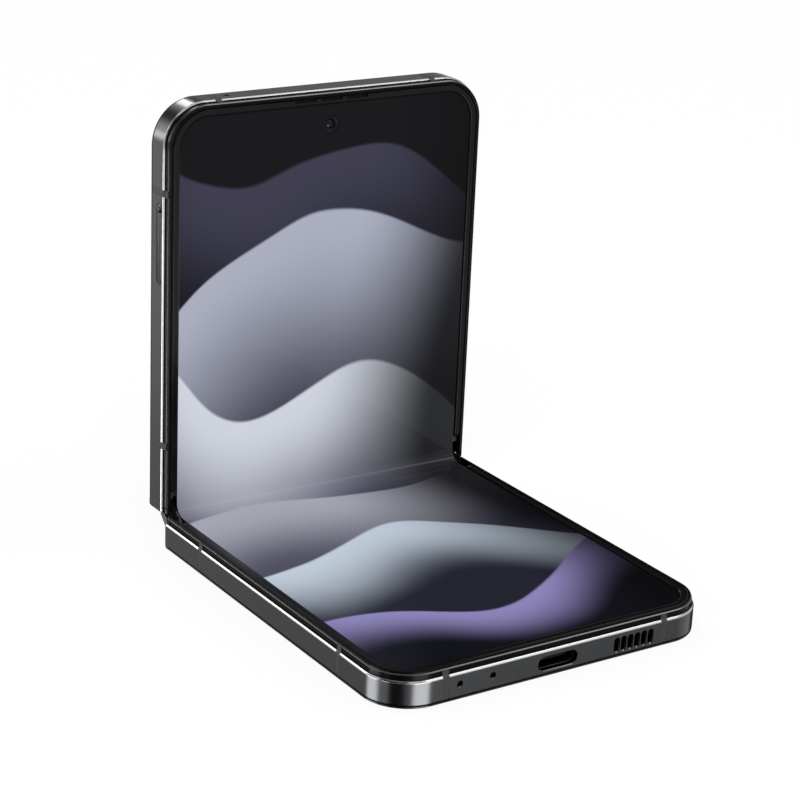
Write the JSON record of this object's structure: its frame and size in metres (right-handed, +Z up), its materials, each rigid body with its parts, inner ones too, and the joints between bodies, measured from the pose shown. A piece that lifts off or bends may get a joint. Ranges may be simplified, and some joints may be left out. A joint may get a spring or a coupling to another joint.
{
  "type": "foldable smartphone",
  "caption": "Clamshell foldable smartphone, half open: two slim metal-framed halves on a two-axis geared hinge, with a flexible inner display, side keys, a card tray and a port.",
  "frame": {"origin": "middle of the lower half's underside, where it rests", "axes": "+X across the width to the side with the keys, +Y towards the hinge, +Z up, out of the lower display"},
  "size_m": [0.0723, 0.0906, 0.0895],
  "materials": {
    "frame_metal": "satin graphite, polished chamfer",
    "band_plastic": "matte",
    "back_glass": "polished black",
    "rim_plastic": "semi-gloss",
    "bezel_plastic": "satin",
    "mid_metal": "cast",
    "steel_plate": "rolled",
    "display_stack": "glossy film over a lit picture",
    "cover_panel": "dark panel",
    "battery_foil": "foil pouch in a dark wrap",
    "coil_copper": "copper wire",
    "port_steel": "stamped",
    "black_plastic": "matte",
    "board_laminate": "solder mask",
    "motor_steel": "stamped",
    "mesh_steel": "dark woven mesh",
    "mic_can": "plated",
    "hinge_steel": "sintered and polished",
    "spine_metal": "polished",
    "spring_steel": "blued",
    "flex_film": "polyimide film",
    "card_plastic": "matte",
    "camera_body": "black",
    "lens_glass": "coated",
    "flash_lens": "clear over a yellow die",
    "screw_steel": "machined"
  },
  "bodies": {
    "lower_half": {"lower_frame": "frame_metal", "lower_antenna_bands": "band_plastic", "lower_back_glass": "back_glass", "lower_rim": "rim_plastic", "lower_bezel": "bezel_plastic", "lower_mid_plate": "mid_metal", "lower_display_plate": "steel_plate", "lower_wing_plate": "steel_plate", "display_lower": "display_stack", "main_battery": "battery_foil", "charging_coil": "coil_copper", "usb_c_shell": "port_steel", "usb_c_tongue": "black_plastic", "usb_board": "board_laminate", "haptic_motor": "motor_steel", "loudspeaker": "black_plastic", "speaker_mesh": "mesh_steel", "bottom_microphones": "mic_can", "lower_hinge_arms": "hinge_steel", "lower_screws": "screw_steel"},
    "hinge_spine": {"spine_cover": "spine_metal", "hinge_end_caps": "black_plastic", "hinge_brackets": "hinge_steel", "gear_holders": "hinge_steel", "torque_springs": "spring_steel", "display_fold": "display_stack", "hinge_flex": "flex_film"},
    "upper_half": {"upper_frame": "frame_metal", "upper_antenna_bands": "band_plastic", "upper_back_glass": "back_glass", "upper_rim": "rim_plastic", "upper_bezel": "bezel_plastic", "upper_mid_plate": "mid_metal", "upper_display_plate": "steel_plate", "upper_wing_plate": "steel_plate", "display_upper": "display_stack", "cover_display": "cover_panel", "upper_battery": "battery_foil", "main_board": "board_laminate", "shield_cans": "port_steel", "sim_socket": "port_steel", "side_switches": "flex_film", "front_camera": "camera_body", "earpiece": "black_plastic", "earpiece_mesh": "mesh_steel", "top_microphone": "mic_can", "rear_cameras": "camera_body", "camera_rings": "frame_metal", "camera_glasses": "lens_glass", "camera_flash": "flash_lens", "upper_hinge_arms": "hinge_steel", "upper_screws": "screw_steel"},
    "gear_a": {"gear_shaft_a": "hinge_steel"},
    "gear_b": {"gear_shaft_b": "hinge_steel"},
    "sim_tray": {"sim_tray": "frame_metal", "nano_sim_card": "card_plastic"},
    "volume_key": {"volume_key": "frame_metal"},
    "power_key": {"power_key": "frame_metal"}
  },
  "joints": [
    {"name": "fold_lower", "type": "hinge", "parent": "lower_half", "child": "hinge_spine", "pos_m": [0, 0.04022, 0.00647], "axis": [1, 0, 0], "range_deg": [-45, 45], "deforming": ["display_fold", "hinge_flex"]},
    {"name": "fold_upper", "type": "hinge", "parent": "hinge_spine", "child": "upper_half", "pos_m": [0, 0.04175, 0.008], "axis": [1, 0, 0], "range_deg": [-45, 45]},
    {"name": "gear_a_turn", "type": "hinge", "parent": "hinge_spine", "child": "gear_a", "pos_m": [0, 0.04156, 0.00529], "axis": [1, 0, 0], "range_deg": [-90, 90]},
    {"name": "gear_b_turn", "type": "hinge", "parent": "hinge_spine", "child": "gear_b", "pos_m": [0, 0.04293, 0.00666], "axis": [1, 0, 0], "range_deg": [-90, 90]},
    {"name": "sim_tray_slide", "type": "slide", "parent": "upper_half", "child": "sim_tray", "axis": [-1, 0, 0], "range_m": [0, 0.015]},
    {"name": "volume_press", "type": "slide", "parent": "upper_half", "child": "volume_key", "axis": [-1, 0, 0], "range_m": [0, 0.00025], "stiffness_N_per_m": 4000},
    {"name": "power_press", "type": "slide", "parent": "upper_half", "child": "power_key", "axis": [-1, 0, 0], "range_m": [0, 0.00025], "stiffness_N_per_m": 4000}
  ],
  "couplings": [
    {"joint": "fold_upper", "follows": "fold_lower", "ratio": 1},
    {"joint": "gear_a_turn", "follows": "fold_lower", "ratio": 2},
    {"joint": "gear_b_turn", "follows": "fold_lower", "ratio": -2}
  ]
}
